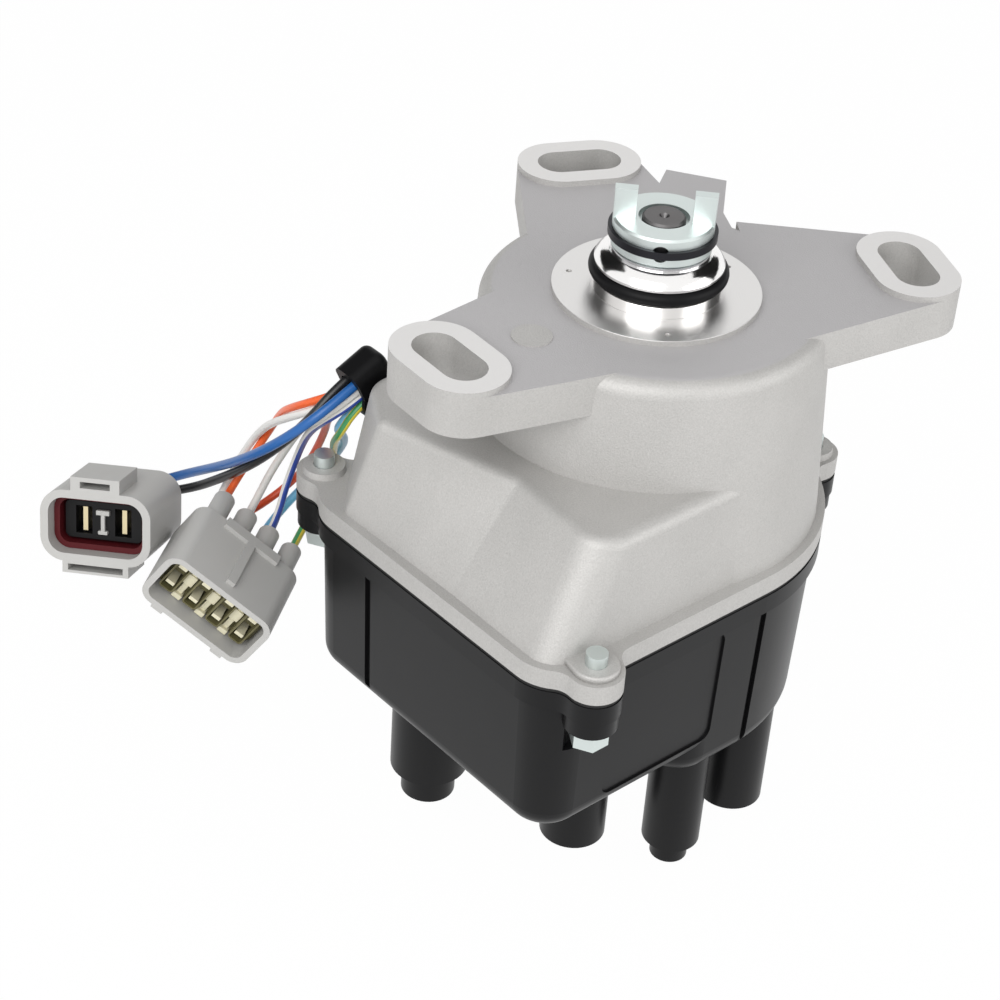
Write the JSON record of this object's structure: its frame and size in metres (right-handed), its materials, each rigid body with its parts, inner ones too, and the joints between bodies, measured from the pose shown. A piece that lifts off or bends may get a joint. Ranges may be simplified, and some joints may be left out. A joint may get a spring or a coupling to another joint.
{
  "type": "ignition distributor",
  "caption": "Ignition distributor with cast housing, slotted ears, offset-lug drive, built-in coil, black cap with towers, and two wired connectors.",
  "frame": {"origin": "where the shaft axis meets the machined mounting face", "axes": "+Z along the shaft towards the engine, -Z towards the cap and towers, -X towards the ignition coil"},
  "size_m": [0.1821, 0.1566, 0.1729],
  "materials": {
    "cast_aluminium": "sand-blasted casting, satin",
    "black_rubber": "moulded rubber, satin",
    "bearing_steel": "ground and polished",
    "shaft_steel": "turned, light oil",
    "zinc_plate": "bright zinc plate",
    "spring_steel": "black oxide",
    "bronze": "sintered bronze",
    "black_plastic": "moulded, satin",
    "brown_plastic": "moulded phenolic, satin",
    "epoxy": "cast epoxy",
    "laminated_iron": "stacked laminations, lacquered",
    "gasket_rubber": "moulded rubber",
    "contact_brass": "stamped brass",
    "carbon": "pressed carbon",
    "gray_plastic": "moulded nylon, satin",
    "maroon_rubber": "silicone rubber",
    "olive_plastic": "moulded nylon",
    "cream_plastic": "tinned terminals in cream carriers",
    "insulation_blue": "extruded vinyl",
    "insulation_black": "extruded vinyl",
    "insulation_orange": "extruded vinyl",
    "insulation_white": "extruded vinyl",
    "insulation_red": "extruded vinyl",
    "insulation_blue_white": "extruded vinyl, white stripe",
    "insulation_light_blue": "extruded vinyl",
    "insulation_yellow_green": "extruded vinyl, green stripe"
  },
  "bodies": {
    "root": {"bearing_outer_race": "bearing_steel", "brush_spring": "zinc_plate", "cap_electrodes": "contact_brass", "cap_gasket": "gasket_rubber", "cap_screws": "zinc_plate", "coil_core": "laminated_iron", "coil_screws": "zinc_plate", "crank_pickup": "black_plastic", "cylinder_pickup": "black_plastic", "distributor_cap": "black_plastic", "dust_shield": "black_plastic", "eight_way_insert": "olive_plastic", "eight_way_shell": "gray_plastic", "eight_way_terminals": "cream_plastic", "housing": "cast_aluminium", "igniter_module": "black_plastic", "igniter_screws": "zinc_plate", "ignition_coil": "epoxy", "lower_bush": "bronze", "pickup_poles": "shaft_steel", "pickup_screws": "zinc_plate", "pilot_o_ring": "black_rubber", "shaft_seal": "black_rubber", "top_centre_pickup": "black_plastic", "tower_terminals": "contact_brass", "two_way_blades": "contact_brass", "two_way_core": "black_plastic", "two_way_seal": "maroon_rubber", "two_way_shell": "gray_plastic", "wire_black": "insulation_black", "wire_blue": "insulation_blue", "wire_blue_striped": "insulation_blue_white", "wire_grommet": "black_rubber", "wire_light_blue": "insulation_light_blue", "wire_orange": "insulation_orange", "wire_red": "insulation_red", "wire_white_front": "insulation_white", "wire_white_rear": "insulation_white", "wire_yellow_striped": "insulation_yellow_green"},
    "shaft": {"distributor_shaft": "shaft_steel", "drive_coupling": "zinc_plate", "coupling_pin": "shaft_steel", "pin_retainer": "spring_steel", "bearing_inner_race": "bearing_steel", "thrust_washer": "shaft_steel", "cylinder_wheel": "shaft_steel", "top_centre_wheel": "shaft_steel", "crank_wheel": "shaft_steel", "rotor": "brown_plastic", "rotor_contact": "contact_brass", "rotor_screw": "zinc_plate"},
    "ball_set": {"bearing_balls": "bearing_steel", "bearing_cage": "zinc_plate"},
    "brush": {"carbon_brush": "carbon"}
  },
  "joints": [
    {"name": "shaft_spin", "type": "hinge", "parent": "root", "child": "shaft", "pos_m": [0, 0, 0], "axis": [0, 0, 1], "continuous": true},
    {"name": "ball_roll", "type": "hinge", "parent": "root", "child": "ball_set", "pos_m": [0, 0, -0.001], "axis": [0, 0, 1], "continuous": true},
    {"name": "brush_slide", "type": "slide", "parent": "root", "child": "brush", "axis": [0, 0, -1], "range_m": [0, 0.002], "stiffness_N_per_m": 60, "deforming": ["brush_spring"]}
  ],
  "couplings": [
    {"joint": "ball_roll", "follows": "shaft_spin", "ratio": 0.4}
  ]
}
